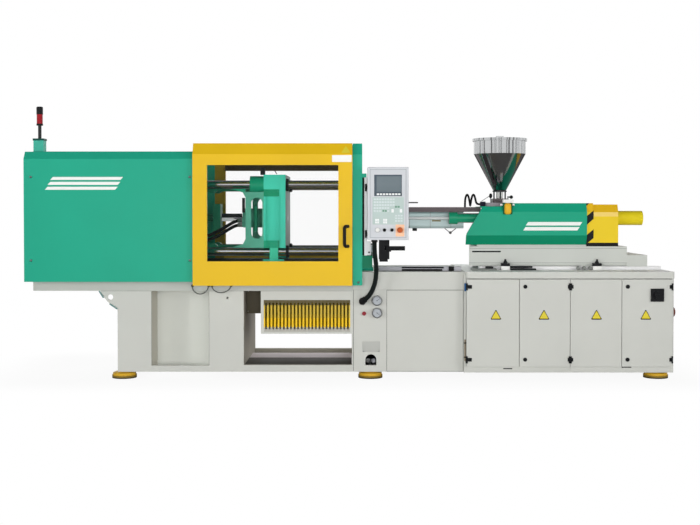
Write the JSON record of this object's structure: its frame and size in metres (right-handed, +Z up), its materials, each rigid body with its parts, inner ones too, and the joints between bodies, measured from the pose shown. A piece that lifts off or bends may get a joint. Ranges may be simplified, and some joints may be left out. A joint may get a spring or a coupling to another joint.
{
  "type": "injection moulding machine",
  "caption": "Horizontal hydraulic injection moulding machine with a toggle clamp behind sliding guards, a swinging control panel, a carriage with a hopper and a cabinet bed.",
  "frame": {"origin": "on the floor under the middle of the machine's length and width", "axes": "+X to the injection end, -Y to the operator, +Z up"},
  "size_m": [4.784, 1.3338, 2.024],
  "materials": {
    "beacon_red": "gloss",
    "black_paint": "satin",
    "black_plastic": "matte",
    "cable_rubber": "matte",
    "chrome_rod": "polished",
    "clear_window": "clear",
    "foot_gold": "satin",
    "grey_cable": "matte",
    "grey_paint": "satin",
    "machined_steel": "machined",
    "panel_paint": "satin",
    "platen_paint": "satin",
    "polished_steel": "polished",
    "red_plastic": "gloss",
    "teal_paint": "satin",
    "yellow_paint": "gloss"
  },
  "bodies": {
    "machine": {"clamp_bed": "grey_paint", "injection_bed": "grey_paint", "gauge_plate": "grey_paint", "pressure_gauges": "black_plastic", "levelling_feet": "foot_gold", "chute_grille": "yellow_paint", "fixed_platen": "platen_paint", "tie_bars": "chrome_rod", "clamp_cover_front": "teal_paint", "clamp_cover_rear": "teal_paint", "front_guard_frame": "teal_paint", "rear_guard_frame": "teal_paint", "beacon": "beacon_red", "panel_bracket": "panel_paint", "cabinet_hinges": "black_paint", "panel_conduit": "cable_rubber", "conduit_elbow": "black_plastic", "loop_cables": "grey_cable", "pump_motor": "platen_paint", "carriage_rods": "chrome_rod"},
    "stop_push": {"push_button": "red_plastic"},
    "tail_assembly": {"tail_platen": "platen_paint", "clamp_cylinder": "platen_paint", "mould_height_nuts": "black_paint"},
    "moving_assembly": {"moving_platen": "platen_paint", "crosshead_guides": "chrome_rod", "clamp_hoses": "cable_rubber"},
    "ejector": {"ejector_rod": "chrome_rod"},
    "rear_link_upper_body": {"rear_link_upper": "platen_paint"},
    "rear_link_lower_body": {"rear_link_lower": "platen_paint"},
    "front_link_upper_body": {"front_link_upper": "platen_paint"},
    "front_link_lower_body": {"front_link_lower": "platen_paint"},
    "crosshead_body": {"crosshead": "platen_paint"},
    "front_door_body": {"front_door": "yellow_paint", "front_window": "clear_window"},
    "rear_door_body": {"rear_door": "yellow_paint", "rear_window": "clear_window"},
    "door_1": {"cabinet_door_1": "grey_paint"},
    "door_2": {"cabinet_door_2": "grey_paint"},
    "door_3": {"cabinet_door_3": "grey_paint"},
    "door_4": {"cabinet_door_4": "grey_paint"},
    "main_switch": {"main_switch_knob": "black_plastic"},
    "panel": {"control_panel": "panel_paint"},
    "selector_left": {"selector_knob_left": "black_plastic"},
    "selector_right": {"selector_knob_right": "black_plastic"},
    "key": {"key_switch": "chrome_rod"},
    "emergency_stop": {"stop_button": "red_plastic"},
    "lever": {"panel_lever": "black_plastic"},
    "carriage": {"injection_base": "grey_paint", "injection_housing": "teal_paint", "barrel": "machined_steel", "barrel_cover": "polished_steel", "rear_guard": "yellow_paint", "hopper": "polished_steel", "carriage_cylinders": "platen_paint", "heater_cable": "cable_rubber"},
    "lid": {"hopper_lid": "polished_steel"},
    "gate": {"hopper_gate": "machined_steel"},
    "drive": {"screw_drive": "platen_paint"},
    "screw_body": {"screw": "machined_steel"}
  },
  "joints": [
    {"name": "front_door_slide", "type": "slide", "parent": "machine", "child": "front_door_body", "axis": [1, 0, 0], "range_m": [-0.95, 0]},
    {"name": "rear_door_slide", "type": "slide", "parent": "machine", "child": "rear_door_body", "axis": [1, 0, 0], "range_m": [-0.95, 0]},
    {"name": "mould_height_slide", "type": "slide", "parent": "machine", "child": "tail_assembly", "axis": [1, 0, 0], "range_m": [0, 0.25]},
    {"name": "clamp_slide", "type": "slide", "parent": "tail_assembly", "child": "moving_assembly", "axis": [1, 0, 0], "range_m": [-0.35, 0], "deforming": ["clamp_hoses"]},
    {"name": "rear_link_upper_hinge", "type": "hinge", "parent": "tail_assembly", "child": "rear_link_upper_body", "pos_m": [-1.25, 0, 1.433], "axis": [0, 1, 0], "range_deg": [0, 133.01]},
    {"name": "rear_link_lower_hinge", "type": "hinge", "parent": "tail_assembly", "child": "rear_link_lower_body", "pos_m": [-1.25, 0, 0.953], "axis": [0, 1, 0], "range_deg": [-133.01, 0]},
    {"name": "front_link_upper_hinge", "type": "hinge", "parent": "moving_assembly", "child": "front_link_upper_body", "pos_m": [-0.73, 0, 1.433], "axis": [0, 1, 0], "range_deg": [-25.19, 0]},
    {"name": "front_link_lower_hinge", "type": "hinge", "parent": "moving_assembly", "child": "front_link_lower_body", "pos_m": [-0.73, 0, 0.953], "axis": [0, 1, 0], "range_deg": [0, 25.19]},
    {"name": "crosshead_slide", "type": "slide", "parent": "tail_assembly", "child": "crosshead_body", "axis": [1, 0, 0], "range_m": [-0.3601, 0]},
    {"name": "ejector_slide", "type": "slide", "parent": "moving_assembly", "child": "ejector", "axis": [1, 0, 0], "range_m": [0, 0.1]},
    {"name": "carriage_slide", "type": "slide", "parent": "machine", "child": "carriage", "axis": [1, 0, 0], "range_m": [0, 0.25]},
    {"name": "screw_stroke", "type": "slide", "parent": "carriage", "child": "drive", "axis": [1, 0, 0], "range_m": [0, 0.15]},
    {"name": "screw_turn", "type": "hinge", "parent": "drive", "child": "screw_body", "pos_m": [0, 0, 1.193], "axis": [1, 0, 0], "continuous": true},
    {"name": "hopper_lid_lift", "type": "slide", "parent": "carriage", "child": "lid", "axis": [0, 0, 1], "range_m": [0, 0.3]},
    {"name": "hopper_gate_slide", "type": "slide", "parent": "carriage", "child": "gate", "axis": [1, 0, 0], "range_m": [0, 0.07]},
    {"name": "panel_hinge", "type": "hinge", "parent": "machine", "child": "panel", "pos_m": [0.116, -0.6, 1.25], "axis": [0, 0, 1], "range_deg": [-90, 0], "deforming": ["panel_conduit"]},
    {"name": "panel_lever_hinge", "type": "hinge", "parent": "panel", "child": "lever", "pos_m": [0.271, -0.59, 0.975], "axis": [0, 0, 1], "range_deg": [-60, 0]},
    {"name": "stop_button_push", "type": "slide", "parent": "panel", "child": "emergency_stop", "axis": [0, 1, 0], "range_m": [0, 0.006], "stiffness_N_per_m": 600},
    {"name": "selector_left_turn", "type": "hinge", "parent": "panel", "child": "selector_left", "pos_m": [0.2506, -0.65, 1.11], "axis": [0, 1, 0], "range_deg": [-45, 45]},
    {"name": "selector_right_turn", "type": "hinge", "parent": "panel", "child": "selector_right", "pos_m": [0.3058, -0.65, 1.11], "axis": [0, 1, 0], "range_deg": [-45, 45]},
    {"name": "key_turn", "type": "hinge", "parent": "panel", "child": "key", "pos_m": [0.201, -0.65, 1.11], "axis": [0, 1, 0], "range_deg": [-45, 45]},
    {"name": "push_button_push", "type": "slide", "parent": "machine", "child": "stop_push", "axis": [0, 1, 0], "range_m": [0, 0.005], "stiffness_N_per_m": 500},
    {"name": "cabinet_door_1_hinge", "type": "hinge", "parent": "machine", "child": "door_1", "pos_m": [0.862, -0.5665, 0.42], "axis": [0, 0, 1], "range_deg": [-90, 0]},
    {"name": "cabinet_door_2_hinge", "type": "hinge", "parent": "machine", "child": "door_2", "pos_m": [1.617, -0.5665, 0.42], "axis": [0, 0, 1], "range_deg": [0, 90]},
    {"name": "cabinet_door_3_hinge", "type": "hinge", "parent": "machine", "child": "door_3", "pos_m": [1.629, -0.5665, 0.42], "axis": [0, 0, 1], "range_deg": [-90, 0]},
    {"name": "cabinet_door_4_hinge", "type": "hinge", "parent": "machine", "child": "door_4", "pos_m": [2.374, -0.5665, 0.42], "axis": [0, 0, 1], "range_deg": [0, 90]},
    {"name": "main_switch_turn", "type": "hinge", "parent": "door_4", "child": "main_switch", "pos_m": [2.262, -0.572, 0.629], "axis": [0, 1, 0], "range_deg": [0, 90]}
  ],
  "couplings": [
    {"joint": "rear_link_upper_hinge", "follows": "clamp_slide", "rad_per_m": -6.6228},
    {"joint": "rear_link_lower_hinge", "follows": "clamp_slide", "rad_per_m": 6.6228},
    {"joint": "front_link_upper_hinge", "follows": "clamp_slide", "rad_per_m": 1.2459},
    {"joint": "front_link_lower_hinge", "follows": "clamp_slide", "rad_per_m": -1.2459},
    {"joint": "crosshead_slide", "follows": "clamp_slide", "ratio": 1.0286}
  ]
}
